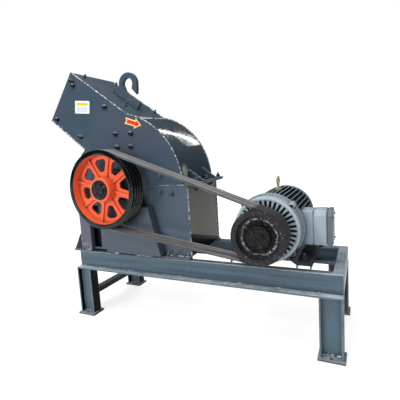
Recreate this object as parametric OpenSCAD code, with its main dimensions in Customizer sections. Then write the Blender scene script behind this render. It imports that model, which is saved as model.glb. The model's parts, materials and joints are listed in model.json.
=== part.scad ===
// Hammer crusher on a steel stand, driven by V-belts from a foot-mounted motor.
// X runs along the stand from the feed end to the motor, Y runs from the drive side (front) to the
// back, Z is up. The origin is on the floor, at the centre of the four anchor bolts.

/* [Stand] */
// Length of the stand
stand_l = 1700; // [1640:10:2040]
// Width over the webs of the two long beams
stand_w = 520; // [500:5:640]
// Height of the deck, from the floor to the top of the long beams
deck_h = 434; // [360:1:560]
// Depth of the channel section of the beams
beam_h = 100; // [80:1:130]
// Flange width of the channel section
beam_b = 50; // [40:1:60]
// Web thickness of the channel section
beam_web_t = 6; // [4:0.5:9]
// Flange thickness of the channel section
beam_flange_t = 9; // [6:0.5:12]
// Thickness of the flat sill bar under each long beam
sill_t = 10; // [6:1:16]
// How far the sill and the legs stand out from the beam web
sill_out = 45; // [30:1:60]

/* [Legs] */
// Section depth of the I-section legs, along the stand
leg_d = 114; // [100:1:160]
// Flange width of the legs
leg_b = 70; // [60:1:90]
// Web thickness of the legs
leg_web_t = 6; // [4:0.5:9]
// Flange thickness of the legs
leg_flange_t = 9; // [6:0.5:12]
// Length of a base plate, along the stand
base_l = 134; // [130:1:190]
// Width of a base plate
base_w = 104; // [90:1:130]
// Thickness of a base plate
base_t = 12; // [8:1:20]
// Diameter of the anchor bolt hole in each base plate
anchor_d = 18; // [12:1:22]
// Distance of the anchor hole in front of the leg web
anchor_out = 30; // [24:1:34]
// Width of the low braces between the legs
brace_w = 50; // [40:1:60]
// Height of the low braces
brace_h = 34; // [25:1:50]
// Height of the brace top above the floor
brace_z = 152; // [120:1:220]

/* [Rotor] */
// Distance of the rotor axis from the feed end of the stand
rotor_from_end = 365; // [350:1:420]
// Height of the rotor axis above the deck
rotor_above_deck = 449; // [430:1:540]
// Diameter of the rotor over the hammer tips
rotor_d = 500; // [420:5:560]
// Diameter of the rotor discs
disc_d = 330; // [280:5:360]
// Thickness of one rotor disc
disc_t = 16; // [12:1:20]
// Number of rotor discs
disc_n = 5; // [3:1:6]
// Width of one hammer
hammer_w = 50; // [40:1:60]
// Thickness of one hammer
hammer_t = 36; // [24:1:40]
// Diameter of the hammer pins
hammer_pin_d = 30; // [24:1:36]
// Shaft diameter inside the housing and in the bearings
shaft_d = 90; // [70:1:100]
// Shaft diameter under the drive sheave
shaft_end_d = 65; // [50:1:70]
// Radial running clearance of a shaft in its bearing
run_fit = 0.05; // [0.02:0.01:0.1]

/* [Housing] */
// Width of the housing over its side plates
housing_w = 444; // [400:2:460]
// Thickness of the side plates
side_t = 12; // [8:1:16]
// Thickness of the top, floor, cover and end plates
skin_t = 10; // [6:1:14]
// Radius of the rear cover about the rotor axis
cover_r = 458; // [420:1:480]
// Angle at which the rear cover meets the sloping top plate
cover_start = 77; // [65:1:85]
// Length of the sloping top plate
top_l = 529; // [450:1:620]
// Slope of the feed chute
chute_slope = 36.4; // [30:0.2:42]
// Depth of the feed mouth, square to the chute
mouth_d = 368; // [300:1:380]
// Height of the parting plane above the rotor axis
parting_up = 1; // [0:1:20]
// Thickness of each parting flange
part_flange_t = 8; // [6:1:12]
// Overhang of the parting flange at the rear
part_flange_out = 56; // [40:1:80]
// Distance of the lower rear wall from the rotor axis
lower_rear = 490; // [480:1:520]
// Distance of the lower feed-end wall from the rotor axis
lower_feed = 353; // [340:1:380]
// Gap between the lower housing and the deck
housing_gap = 14; // [10:1:40]

/* [Lifting hook] */
// Thickness of the hook and of the bar that it stands on
hook_t = 26; // [20:1:32]
// Radius of the eye of the hook
hook_in = 38; // [34:1:42]
// Outside radius of the hook
hook_out = 73; // [70:1:78]
// Height of the bar, square to the top plate
rib_h = 52; // [40:1:60]
// Length of the bar, along the top plate
rib_l = 237; // [220:1:260]

/* [Feet of the housing] */
// Length of a foot plate at the feed end
foot_l = 156; // [140:1:180]
// Length of a foot plate at the motor end
foot_rear_l = 196; // [170:1:220]
// Thickness of a foot plate
foot_t = 12; // [8:1:16]
// Width of the leg plate above a foot at the feed end
foot_leg_w = 86; // [80:1:100]
// Width of the open slot beside that leg plate
slot_w = 70; // [50:1:80]
// How far a leg plate stands out from the side plate
foot_out = 24; // [12:1:34]

/* [Belt drive] */
// Outside diameter of the large sheave
wheel_d = 479; // [420:1:520]
// Outside diameter of the motor sheave
pulley_d = 280; // [240:1:300]
// Number of belts
belt_n = 4; // [2:1:5]
// Spacing of the belts
belt_pitch = 25.5; // [24:0.5:28]
// Top width of a belt
belt_w = 21; // [17:0.5:22]
// Thickness of a belt
belt_t = 13; // [10:0.5:14]
// Flank angle of a belt, from its centre plane
belt_flank = 18; // [17:0.5:20]
// Clearance of a belt in its groove
belt_clear = 0.6; // [0.3:0.1:1]
// Gap between the housing bearing and the large sheave
wheel_gap = 8; // [6:1:15]
// Number of spokes, ribs and windows of the large sheave
spoke_n = 8; // [5:1:8]

/* [Motor] */
// Distance of the motor axis from the feed end of the stand
motor_from_end = 1320; // [1290:1:1400]
// Shaft height of the motor
motor_h = 184; // [180:1:200]
// Height of the motor rails
rail_h = 22; // [16:1:40]
// Radius of the motor over its fins
motor_r = 178; // [160:1:179]
// Length of the finned motor frame
motor_l = 460; // [380:5:480]
// Length of the fan cowl
cowl_l = 72; // [50:2:90]
// Number of fins
fin_n = 44; // [24:4:52]
// Height of the fins
fin_h = 24; // [15:1:30]
// Diameter of the motor shaft
motor_shaft_d = 48; // [38:1:55]
// Height of the terminal box
box_h = 188; // [150:2:200]
// Length of the terminal box, along the motor
box_l = 151; // [120:1:180]

/* [Hidden] */
$fn = 96;

// stand
end_x = stand_l/2;
web_y = stand_w/2;
sill_y = web_y + sill_out;
beam_z = deck_h - beam_h;
sill_z = beam_z - sill_t;
sill_w = sill_out + beam_b;
leg_x = end_x - leg_d/2;
leg_y = sill_y - leg_b/2;
anchor_y = leg_y + anchor_out;
// rotor and housing
rotor_x = rotor_from_end - end_x;
rotor_z = deck_h + rotor_above_deck;
side_y = housing_w/2;
inner_y = side_y - side_t;
part_z = rotor_z + parting_up;
low_z = deck_h + housing_gap;
top_radial = [cos(cover_start), sin(cover_start)];
top_end = [rotor_x, rotor_z] + cover_r*top_radial;
chute_dir = [-cos(chute_slope), sin(chute_slope)];
chute_down = [-sin(chute_slope), -cos(chute_slope)];
mouth_top = top_end + top_l*chute_dir;
mouth_low = mouth_top + mouth_d*chute_down;
feed_x = rotor_x - lower_feed;
rear_x = rotor_x + lower_rear;
knee_run = 90;
knee_z = part_z + 156;
heel = [feed_x + knee_run, knee_z + knee_run];
cover_part_x = rotor_x + sqrt(cover_r*cover_r - parting_up*parting_up);
// belt drive
wheel_w = (belt_n - 1)*belt_pitch + 33;
bearing_out = 75;
wheel_back = -(side_y + bearing_out + wheel_gap);
wheel_y = wheel_back - wheel_w/2;
wheel_front = wheel_back - wheel_w;
groove_d = belt_t + 4;
belt_rise = 1.5;
motor_x = motor_from_end - end_x;
motor_z = deck_h + rail_h + motor_h;
shield_front = -web_y + 15;
fin_front = shield_front + 62;
fin_back = fin_front + motor_l;

function unit(v) = v/norm(v);
// normal of a line from a to b, on the right of its travel
function right_of(a, b) = let (u = unit(b - a)) [u[1], -u[0]];
// an open line moved to its right by t, with mitred corners
function inset(pts, t) = let (n = len(pts)) [for (i = [0:n - 1])
    let (n1 = right_of(pts[max(i, 1) - 1], pts[max(i, 1)]), n2 = right_of(pts[min(i, n - 2)], pts[min(i, n - 2) + 1]))
    pts[i] + t*(n1 + n2)/(1 + n1*n2)];
function reversed(pts) = [for (i = [len(pts) - 1:-1:0]) pts[i]];
function arc_points(c, r, a0, a1, n) = [for (i = [0:n]) c + r*[cos(a0 + (a1 - a0)*i/n), sin(a0 + (a1 - a0)*i/n)]];

// a plate drawn in X and Z, from y0 to y1
module slab(y0, y1) translate([0, y1, 0]) rotate([90, 0, 0]) linear_extrude(y1 - y0) children();
// a cylinder along Y, from y0 to y1
module rod_y(x, z, d, y0, y1) translate([x, y1, z]) rotate([90, 0, 0]) cylinder(d = d, h = y1 - y0);
// a body turned about an axis along Y: its outline is drawn as radius and y
module turned_y(x, z) translate([x, 0, z]) rotate([-90, 0, 0]) rotate_extrude() children();
module channel_profile() difference() {
    square([beam_b, beam_h]);
    translate([beam_web_t, beam_flange_t]) square([beam_b, beam_h - 2*beam_flange_t]);
}
module mirror_y(on) if (on) mirror([0, 1, 0]) children(); else children();
module both_ends() {
    children();
    mirror([1, 0, 0]) children();
}

// ---- stand ----
module long_beam() translate([-end_x, -web_y, beam_z]) rotate([90, 0, 90]) linear_extrude(stand_l) channel_profile();
module beam_front() color("#566672") long_beam();
module beam_back() color("#566672") mirror([0, 1, 0]) long_beam();
module end_beam() {
    half = web_y - beam_b;
    tongue = web_y - beam_web_t;
    translate([end_x, half, beam_z]) rotate([90, 0, 0]) linear_extrude(2*half) mirror([1, 0]) channel_profile();
    for (s = [-1, 1]) translate([end_x - beam_web_t, s > 0 ? half : -tongue, beam_z + beam_flange_t])
        cube([beam_web_t, tongue - half, beam_h - 2*beam_flange_t]);
}
module end_beam_right() color("#566672") end_beam();
module end_beam_left() color("#566672") mirror([1, 0, 0]) end_beam();
module sills() color("#566672") for (m = [false, true]) mirror_y(m)
    translate([-end_x, -sill_y, sill_z]) cube([stand_l, sill_w, sill_t]);
module leg() {
    difference() {
        translate([leg_x - leg_d/2, -leg_y - leg_b/2, base_t]) cube([leg_d, leg_b, sill_z - base_t]);
        for (s = [-1, 1]) translate([leg_x - leg_d/2 + leg_flange_t, s*(leg_b/2 + leg_web_t/2) - leg_y - leg_b/2, base_t - 1])
            cube([leg_d - 2*leg_flange_t, leg_b, sill_z]);
    }
    difference() {
        translate([leg_x - base_l/2, -leg_y - base_w/2, 0]) cube([base_l, base_w, base_t]);
        translate([leg_x, -anchor_y, -1]) cylinder(d = anchor_d, h = base_t + 2);
    }
}
module leg_front_right() color("#566672") leg();
module leg_front_left() color("#566672") mirror([1, 0, 0]) leg();
module leg_back_right() color("#566672") mirror([0, 1, 0]) leg();
module leg_back_left() color("#566672") mirror([0, 1, 0]) mirror([1, 0, 0]) leg();
module leg_braces() color("#4d5b66") both_ends() {
    half = leg_y - leg_web_t/2;
    wall = 5;
    difference() {
        translate([leg_x - brace_w/2, -half, brace_z - brace_h]) cube([brace_w, 2*half, brace_h]);
        translate([leg_x - brace_w/2 + wall, -half - 1, brace_z - brace_h - 1]) cube([brace_w - 2*wall, 2*half + 2, brace_h - wall + 1]);
    }
}
rail_w = 76;
rail_out = motor_r + 6;
rail_wall = 6;
module motor_rails() color("#4d5b66") for (s = [-1, 1]) translate([motor_x + s*rail_out, 0, deck_h]) difference() {
    translate([-rail_w/2, -web_y + 48, 0]) cube([rail_w, 2*web_y - 96, rail_h]);
    translate([-rail_w/2 + rail_wall, -web_y, -1]) cube([rail_w - 2*rail_wall, 2*web_y, rail_h - rail_wall + 1]);
}

// ---- housing ----
function upper_outline() = concat(
    [[feed_x, part_z], [feed_x, knee_z], heel, mouth_low, mouth_top],
    arc_points([rotor_x, rotor_z], cover_r, cover_start, asin(parting_up/cover_r), 36));
shaft_hole_r = shaft_d/2 + 12;
module upper_side() difference() {
    slab(-side_y, -inner_y) polygon(upper_outline());
    rod_y(rotor_x, rotor_z, 2*shaft_hole_r, -side_y - 1, -inner_y + 1);
}
module upper_side_front() color("#4a5a66") upper_side();
module upper_side_back() color("#4a5a66") mirror([0, 1, 0]) upper_side();
// corner between the inner faces of the top plate and the rear cover
top_seam = top_end - skin_t/-(chute_down*top_radial)*top_radial;
module top_plate() color("#4a5a66") slab(-inner_y, inner_y)
    polygon([mouth_top, top_end, top_seam, mouth_top + skin_t*chute_down]);
feed_line = [[feed_x, part_z], [feed_x, knee_z], heel, mouth_low];
module feed_floor() color("#4a5a66") slab(-inner_y, inner_y)
    polygon(concat(feed_line, reversed(inset(feed_line, skin_t))));
module rear_cover() color("#4a5a66") slab(-inner_y, inner_y) polygon(concat(
    arc_points([rotor_x, rotor_z], cover_r, cover_start, asin(parting_up/cover_r), 48),
    arc_points([rotor_x, rotor_z], cover_r - skin_t, asin(parting_up/(cover_r - skin_t)), cover_start, 48)));
module lower_side() difference() {
    slab(-side_y, -inner_y) translate([feed_x, low_z]) square([rear_x - feed_x, part_z - low_z]);
    rod_y(rotor_x, rotor_z, 2*shaft_hole_r, -side_y - 1, -inner_y + 1);
}
slot_low = low_z + 12;
slot_top = rotor_z - 130;
module lower_side_front() color("#4a5a66") difference() {
    lower_side();
    translate([feed_x + foot_leg_w, -side_y - 1, slot_low]) cube([slot_w, side_t + 2, slot_top - slot_low]);
}
module lower_side_back() color("#4a5a66") mirror([0, 1, 0]) lower_side();
module lower_wall_feed() color("#4a5a66") translate([feed_x, -inner_y, low_z]) cube([skin_t, 2*inner_y, part_z - low_z]);
module lower_wall_rear() color("#6b6560") translate([rear_x - skin_t, -inner_y, low_z]) cube([skin_t, 2*inner_y, part_z - low_z - part_flange_t]);
gusset_t = 10;
gusset_up = 84;
gusset_down = 48;
gusset_y = [-105, 90];
module flange_gussets() for (y = gusset_y) slab(y, y + gusset_t) children();
module parting_flange_upper() color("#4a5a66") {
    translate([cover_part_x, -side_y, part_z]) cube([rear_x + part_flange_out - cover_part_x, housing_w, part_flange_t]);
    flange_gussets() polygon(concat(
        arc_points([rotor_x, rotor_z], cover_r + 0.3, asin((parting_up + gusset_up)/cover_r),
            asin((parting_up + part_flange_t - 1)/cover_r), 8),
        [[rear_x + part_flange_out - 2, part_z + part_flange_t - 1], [rear_x + part_flange_out - 2, part_z + part_flange_t + 9]]));
}
module parting_flange_lower() color("#4a5a66") {
    translate([rear_x - skin_t, -inner_y, part_z - part_flange_t]) cube([part_flange_out + skin_t, 2*inner_y, part_flange_t]);
    flange_gussets() polygon([[rear_x, part_z - part_flange_t + 1], [rear_x + part_flange_out - 8, part_z - part_flange_t + 1],
        [rear_x, part_z - part_flange_t - gusset_down]]);
}
hook_c = [top_end[0] - 126, top_end[1] + 231];
rib_start = 83;
function on_rib(along) = top_end + along*chute_dir - rib_h*chute_down;
module hook_plate() slab(-hook_t/2, hook_t/2) children();
module lifting_hook() color("#4a5a66") {
    hook_plate() polygon([top_end + rib_start*chute_dir, on_rib(rib_start), on_rib(rib_start + rib_l),
        top_end + (rib_start + rib_l)*chute_dir]);
    difference() {
        hook_plate() translate(hook_c) circle(r = hook_out);
        slab(-hook_t, hook_t) translate(hook_c) circle(r = hook_in);
        slab(-hook_t, hook_t) translate(hook_c)
            polygon([[0, 0], 300*[cos(-20), sin(-20)], [200, -300], [-200, -300], [-200, 0]]);
    }
    hook_plate() translate(hook_c) polygon([[hook_in + 5, 6], [hook_out - 4, 6], [hook_out - 0.5, -8], [hook_out - 2, -40],
        [hook_out - 8, -78], [hook_in - 8, -37], [hook_in - 2.5, -14]]);
    hook_plate() polygon([hook_c + [-hook_out + 2, 5], hook_c + [-hook_in - 4, 5], hook_c + [-hook_in - 1, -6],
        on_rib(rib_start + 130) + [0, -6], on_rib(rib_start + 200) + [0, -6], hook_c + [-hook_out - 0.5, -6]]);
}
foot_gusset = [52, 86];
foot_w = side_t + foot_out + 6;
foot_front = side_y + foot_out + 6;
// foot at the feed end: its leg plate stands proud of the side plate and runs up to the parting flange
module feed_foot() {
    out = foot_l - foot_leg_w;
    translate([feed_x - out, -foot_front, deck_h]) cube([foot_l, foot_w, foot_t]);
    slab(-side_y - foot_out, -side_y) translate([feed_x, deck_h + foot_t])
        square([foot_leg_w, part_z - part_flange_t - deck_h - foot_t]);
    slab(-side_y, -inner_y) translate([feed_x, deck_h + foot_t]) square([foot_leg_w, low_z - deck_h - foot_t]);
    slab(-side_y - foot_out + 6, -side_y - foot_out + 18) polygon([[feed_x, deck_h + foot_t],
        [feed_x - foot_gusset[0], deck_h + foot_t], [feed_x, deck_h + foot_t + foot_gusset[1]]]);
}
// foot at the motor end: the side plate comes down to the deck
module rear_foot() {
    translate([rear_x - foot_rear_l, -foot_front, deck_h]) cube([foot_rear_l, foot_w, foot_t]);
    slab(-side_y, -inner_y) translate([rear_x - foot_rear_l + 20, deck_h + foot_t])
        square([foot_rear_l - 20, low_z - deck_h - foot_t]);
}
module feet_front() color("#4a5a66") {
    feed_foot();
    rear_foot();
}
module feet_back() color("#4a5a66") mirror([0, 1, 0]) {
    feed_foot();
    rear_foot();
}
pedestal_t = 10;
pedestal_out = 62;
pedestal_low = low_z + 6;
pedestal_top = rotor_z - 140;
pedestal_l = 315;
// outline of the pedestal's front plate, from its lower left corner
pedestal_outline = [[rotor_x - 105, pedestal_low], [rotor_x + 311, pedestal_low],
    [rotor_x + 243, pedestal_top], [rotor_x - 72, pedestal_top]];
module pedestal_flank(foot, head, side) slab(-side_y - pedestal_out + pedestal_t, -side_y)
    polygon([foot, head, head + [side*pedestal_t, 0], foot + [side*pedestal_t, 0]]);
module pedestal() {
    slab(-side_y - pedestal_out, -side_y - pedestal_out + pedestal_t) polygon(pedestal_outline);
    pedestal_flank(pedestal_outline[0], pedestal_outline[3], 1);
    pedestal_flank(pedestal_outline[1], pedestal_outline[2], -1);
    translate([pedestal_outline[3][0], -side_y - pedestal_out, pedestal_top]) cube([pedestal_l, pedestal_out, pedestal_t]);
}
module pedestal_front() color("#5a666f") pedestal();
module pedestal_back() color("#5a666f") mirror([0, 1, 0]) pedestal();
bearing_d = 236;
bearing_cap_d = 196;
bearing_foot_l = 250;
bearing_foot_h = 60;
module bearing() difference() {
    union() {
        rod_y(rotor_x, rotor_z, bearing_d, -side_y - 40, -side_y);
        rod_y(rotor_x, rotor_z, bearing_cap_d, -side_y - bearing_out, -side_y - 40);
        translate([rotor_x - 72, -side_y - pedestal_out, pedestal_top + pedestal_t])
            cube([bearing_foot_l, pedestal_out, bearing_foot_h]);
    }
    rod_y(rotor_x, rotor_z, shaft_d + 2*run_fit, -side_y - bearing_out - 1, -side_y + 1);
}
module bearing_front() color("#39434b") bearing();
module bearing_back() color("#39434b") mirror([0, 1, 0]) bearing();

// ---- rotor ----
bush_d = 116;
bush_front = wheel_front - 9;
shaft_back = side_y + bearing_out + 14;
module rotor_shaft() color("#2a2d30") {
    rod_y(rotor_x, rotor_z, shaft_d, wheel_back + 3, shaft_back);
    rod_y(rotor_x, rotor_z, shaft_end_d, bush_front - 4, wheel_back + 3);
}
module sheave_bush() color("#1c1d1f") difference() {
    rod_y(rotor_x, rotor_z, bush_d, bush_front, wheel_back - 2);
    rod_y(rotor_x, rotor_z, shaft_end_d, bush_front - 10, wheel_back + 10);
}
hammer_pcd = disc_d - 60;
disc_gap = (2*inner_y - 70 - disc_t)/(disc_n - 1);
module rotor_discs() color("#3a3f44") {
    for (i = [0:disc_n - 1]) difference() {
        rod_y(rotor_x, rotor_z, disc_d, -inner_y + 35 + i*disc_gap, -inner_y + 35 + i*disc_gap + disc_t);
        rod_y(rotor_x, rotor_z, shaft_d, -side_y, side_y);
    }
    for (a = [0:90:270]) rod_y(rotor_x + hammer_pcd/2*cos(a), rotor_z + hammer_pcd/2*sin(a), hammer_pin_d,
        -inner_y + 30, inner_y - 30);
}
module hammers() color("#4b4742") for (i = [0:disc_n - 2], a = [0:90:270]) {
    y = -inner_y + 35 + disc_t + i*disc_gap + (disc_gap - disc_t)/2;
    translate([rotor_x, y, rotor_z]) rotate([0, -a, 0]) difference() {
        translate([hammer_pcd/2 - hammer_w/2, -hammer_t/2, -hammer_w/2]) cube([rotor_d/2 - hammer_pcd/2 + hammer_w/2 - 4, hammer_t, hammer_w]);
        translate([hammer_pcd/2, hammer_t, 0]) rotate([90, 0, 0]) cylinder(d = hammer_pin_d, h = 2*hammer_t);
    }
}

// ---- sheaves: outline of half the rim section, as radius and y, with its grooves ----
function groove(y, r) = let (half = belt_w/2 + belt_clear - belt_rise*tan(belt_flank), slope = groove_d*tan(belt_flank))
    [[r, y - half], [r - groove_d, y - half + slope], [r - groove_d, y + half - slope], [r, y + half]];
function rim_outline(r, bore_r) = concat([[bore_r, wheel_front], [r, wheel_front]],
    [for (i = [0:belt_n - 1]) for (p = groove(wheel_y + (i - (belt_n - 1)/2)*belt_pitch, r)) p],
    [[r, wheel_back], [bore_r, wheel_back]]);
rim_t = 12;
web_t = 14;
web_front = wheel_front + 57;
hub_front = wheel_front - 3;
hub_r = 78;
hub_face_r = 73;
rib_t = 11;
rib_rise = 12;
spoke_turn = 32;
// window in the web, drawn along X: broad round corners outside and small ones at the hub
window_out = [162, 18, 22];
window_in = [120, 8, 14];
function window_outline() = let (d = [window_out[0] - window_in[0], window_out[1] - window_in[1]],
    a = 90 + atan2(d[1], d[0]) + asin((window_out[2] - window_in[2])/norm(d)), o = window_out, i = window_in)
    concat(arc_points([o[0], -o[1]], o[2], -a, 0, 6), arc_points([o[0], o[1]], o[2], 0, a, 6),
        arc_points([i[0], i[1]], i[2], a, 180, 3), arc_points([i[0], -i[1]], i[2], 180, 360 - a, 3));
module at_spoke(i) translate([rotor_x, 0, rotor_z]) rotate([0, -spoke_turn - i*360/spoke_n, 0]) children();
module drive_sheave() color("#e8502f") {
    rim_r = wheel_d/2 - groove_d - rim_t;
    turned_y(rotor_x, rotor_z) polygon(rim_outline(wheel_d/2, rim_r));
    turned_y(rotor_x, rotor_z) polygon([[bush_d/2, hub_front], [hub_face_r, hub_front], [hub_r, web_front],
        [hub_r, wheel_back - 2], [bush_d/2, wheel_back - 2]]);
    difference() {
        rod_y(rotor_x, rotor_z, 2*rim_r + 2, web_front, web_front + web_t);
        rod_y(rotor_x, rotor_z, 2*hub_r - 4, web_front - 1, web_front + web_t + 1);
        for (i = [0:spoke_n - 1]) at_spoke(i + 0.5) slab(web_front - 1, web_front + web_t + 1) polygon(window_outline());
    }
    for (i = [0:spoke_n - 1]) at_spoke(i) translate([hub_r - 3, web_front - rib_rise, -rib_t/2])
        cube([rim_r - hub_r + 4, rib_rise + 1, rib_t]);
}
module motor_sheave() color("#1d1e20") {
    r = pulley_d/2;
    rim_r = r - groove_d - rim_t;
    turned_y(motor_x, motor_z) polygon(rim_outline(r, rim_r));
    difference() {
        union() {
            rod_y(motor_x, motor_z, 2*rim_r + 2, wheel_front + 30, wheel_front + 48);
            rod_y(motor_x, motor_z, 120, wheel_front + 14, wheel_back);
        }
        rod_y(motor_x, motor_z, motor_shaft_d, wheel_front - 1, wheel_back + 1);
    }
}

// ---- motor ----
core_r = motor_r - fin_h;
fin_t = 5;
bore_r = motor_shaft_d/2 + run_fit;
bore_back = -60;
pad_z = deck_h + rail_h;
// mating ring of the frame and its four bolt lugs
ring_r = motor_r + 12;
ring_back = fin_front + 26;
lug_d = 34;
// openings of the endshield: radial slots with arched ends
slot_n = 36;
slot_in = 96;
slot_out = motor_r - 18;
slot_t = 14;
// outline of the finned frame: each fin is two corners out and two corners in
function fin_outline() = [for (i = [0:fin_n - 1]) for (c = [[core_r, -1], [motor_r, -0.8], [motor_r, 0.8], [core_r, 1]])
    let (a = i*360/fin_n + 360/fin_n/2, half = asin(fin_t/2/core_r)) c[0]*[cos(a + c[1]*half), sin(a + c[1]*half)]];
module ring_lugs(y0, y1) for (a = [45:90:315])
    rod_y(motor_x + (motor_r + 4)*cos(a), motor_z + (motor_r + 4)*sin(a), lug_d, y0, y1);
// section of a foot on the right of the motor: its root lies inside the core
module foot_section() polygon([[0.84*core_r, motor_z - 0.39*core_r], [0.58*core_r, motor_z - 0.71*core_r], [rail_out - 64, pad_z + 19],
    [rail_out - 38, pad_z], [rail_out + 42, pad_z], [rail_out + 42, pad_z + 22], [rail_out + 34, pad_z + 22],
    [rail_out + 28, pad_z + 14], [rail_out - 18, pad_z + 14], [rail_out - 26, pad_z + 34], [rail_out - 20, pad_z + 100]]);
foot_front_y = shield_front + 20;
foot_root = ring_back + 8;
foot_back_y = 125;
module motor_foot(y0) slab(y0, foot_back_y) foot_section();
eye_y = 80;
module eye_boss() translate([motor_x, eye_y, motor_z + core_r - 4]) cylinder(d = 34, h = fin_h + 12);
// seat of the terminal box on the frame
box_x = motor_x + motor_r - 8;
box_y = [-110, box_l - 110];
box_z = [motor_z - 103, motor_z - 103 + box_h];
neck_top = box_z[1] - 7;
module fins_and_seat() {
    difference() {
        translate([motor_x, fin_back, motor_z]) rotate([90, 0, 0]) linear_extrude(fin_back - ring_back + 1) polygon(fin_outline());
        translate([box_x, box_y[0] - 3, box_z[0] - 3]) cube([motor_r, box_l + 6, neck_top - box_z[0] + 6]);
    }
    translate([motor_x + core_r - 30, box_y[0] + 4, box_z[0]]) cube([motor_r - core_r + 22, box_l - 8, neck_top - box_z[0]]);
}
module motor_frame() color("#7d929a") difference() {
    union() {
        rod_y(motor_x, motor_z, 2*core_r, fin_front, fin_back);
        difference() {
            fins_and_seat();
            for (s = [0, 1]) translate([motor_x, 0, 0]) mirror([s, 0, 0]) motor_foot(foot_root);
        }
        rod_y(motor_x, motor_z, 2*ring_r, fin_front, ring_back);
        ring_lugs(fin_front, ring_back + 6);
    }
    rod_y(motor_x, motor_z, motor_shaft_d + 10, fin_front - 1, bore_back);
    eye_boss();
}
module motor_endshield() color("#7d929a") difference() {
    union() {
        turned_y(motor_x, motor_z) polygon([[bore_r, shield_front + 12], [62, shield_front + 12], [70, shield_front + 4],
            [84, shield_front + 4], [92, shield_front + 9], [slot_out + 2, shield_front + 9], [slot_out + 4, shield_front],
            [motor_r - 3, shield_front], [motor_r, shield_front + 4], [motor_r, fin_front - 12],
            [motor_r - 6, fin_front - 8], [motor_r - 6, fin_front - 3], [motor_r + 2, fin_front - 3], [motor_r + 2, fin_front], [bore_r, fin_front]]);
        ring_lugs(fin_front - 24, fin_front);
    }
    for (i = [0:slot_n - 1]) translate([motor_x, 0, motor_z]) rotate([0, i*360/slot_n, 0]) {
        translate([slot_in, shield_front - 1, -slot_t/2]) cube([slot_out - slot_t/2 - slot_in, 38, slot_t]);
        rod_y(slot_out - slot_t/2, 0, slot_t, shield_front - 1, shield_front + 37);
    }
}
module fan_cowl() color("#6f838b") turned_y(motor_x, motor_z) polygon([[0, fin_back], [motor_r - 4, fin_back],
    [motor_r - 4, fin_back + cowl_l - 30], [motor_r - 24, fin_back + cowl_l], [0, fin_back + cowl_l]]);
module motor_feet() color("#5d6d75") for (s = [0, 1]) translate([motor_x, 0, 0]) mirror([s, 0, 0]) difference() {
    motor_foot(foot_front_y);
    rod_y(0, motor_z, 2*core_r, foot_front_y - 1, foot_back_y + 1);
    rod_y(0, motor_z, 2*ring_r + 8, foot_front_y - 1, foot_root);
    for (a = [45, 315]) rod_y((motor_r + 4)*cos(a), motor_z + (motor_r + 4)*sin(a), lug_d + 6, foot_front_y - 1, foot_root);
}
// a slice of the terminal box, with its upper edges cut back
box_cut = 27;
module box_slice(x0, x1, inset) translate([x0, 0, 0]) rotate([90, 0, 90]) linear_extrude(x1 - x0)
    let (y0 = box_y[0] + inset, y1 = box_y[1] - inset, z0 = box_z[0] + inset, z1 = box_z[1] - inset)
    polygon([[y0, z0], [y1, z0], [y1, z1 - box_cut], [y1 - box_cut, z1], [y0 + box_cut, z1], [y0, z1 - box_cut]]);
module terminal_box() color("#9aaab5") {
    translate([box_x, box_y[0] + 4, box_z[0]]) cube([51, box_l - 8, neck_top - box_z[0]]);
    box_slice(box_x + 49, box_x + 58, 8);
    box_slice(box_x + 57, box_x + 120, 0);
    box_slice(box_x + 119, box_x + 128, 4);
    box_slice(box_x + 127, box_x + 150, 0);
}
module motor_eyebolt() color("#d9d3c0") {
    eye_boss();
    translate([motor_x, eye_y, motor_z + motor_r + 6]) cylinder(d = 16, h = 32);
    translate([motor_x, eye_y, motor_z + motor_r + 54]) rotate([0, 90, 0]) rotate_extrude() translate([21, 0]) circle(r = 7, $fn = 32);
}
module motor_shaft() color("#8c8f92") rod_y(motor_x, motor_z, motor_shaft_d, wheel_front + 10, bore_back - 5);

// ---- belts: each one a closed loop of trapezoid section round both sheaves ----
belt_r1 = wheel_d/2 + belt_rise;
belt_r2 = pulley_d/2 + belt_rise;
span = [motor_x - rotor_x, motor_z - rotor_z];
centre_dist = norm(span);
span_angle = atan2(span[1], span[0]);
wrap = asin((belt_r1 - belt_r2)/centre_dist);
straight_l = sqrt(centre_dist*centre_dist - pow(belt_r1 - belt_r2, 2));
module belt_section(r) polygon([[r, -belt_w/2], [r, belt_w/2],
    [r - belt_t, belt_w/2 - belt_t*tan(belt_flank)], [r - belt_t, -belt_w/2 + belt_t*tan(belt_flank)]]);
tangent = 90 - wrap;
// drawn with X from the large sheave to the small one and Y up
module belt_run() rotate([0, 0, tangent]) rotate([90, 0, 0]) linear_extrude(straight_l) belt_section(belt_r1);
module belt_loop() {
    rotate([0, 0, tangent]) rotate_extrude(angle = 360 - 2*tangent) belt_section(belt_r1);
    translate([centre_dist, 0, 0]) rotate([0, 0, -tangent]) rotate_extrude(angle = 2*tangent) belt_section(belt_r2);
    belt_run();
    mirror([0, 1, 0]) belt_run();
}
module drive_belts() color("#9a949a") for (i = [0:belt_n - 1])
    translate([rotor_x, wheel_y + (i - (belt_n - 1)/2)*belt_pitch, rotor_z]) rotate([90, 0, 0])
    rotate([0, 0, span_angle]) belt_loop();

beam_front();
beam_back();
end_beam_left();
end_beam_right();
sills();
leg_front_left();
leg_front_right();
leg_back_left();
leg_back_right();
leg_braces();
motor_rails();
upper_side_front();
upper_side_back();
top_plate();
feed_floor();
rear_cover();
lower_side_front();
lower_side_back();
lower_wall_feed();
lower_wall_rear();
parting_flange_upper();
parting_flange_lower();
lifting_hook();
feet_front();
feet_back();
pedestal_front();
pedestal_back();
bearing_front();
bearing_back();
rotor_shaft();
rotor_discs();
hammers();
drive_sheave();
sheave_bush();
motor_frame();
motor_endshield();
fan_cowl();
motor_feet();
terminal_box();
motor_eyebolt();
motor_shaft();
motor_sheave();
drive_belts();
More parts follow.
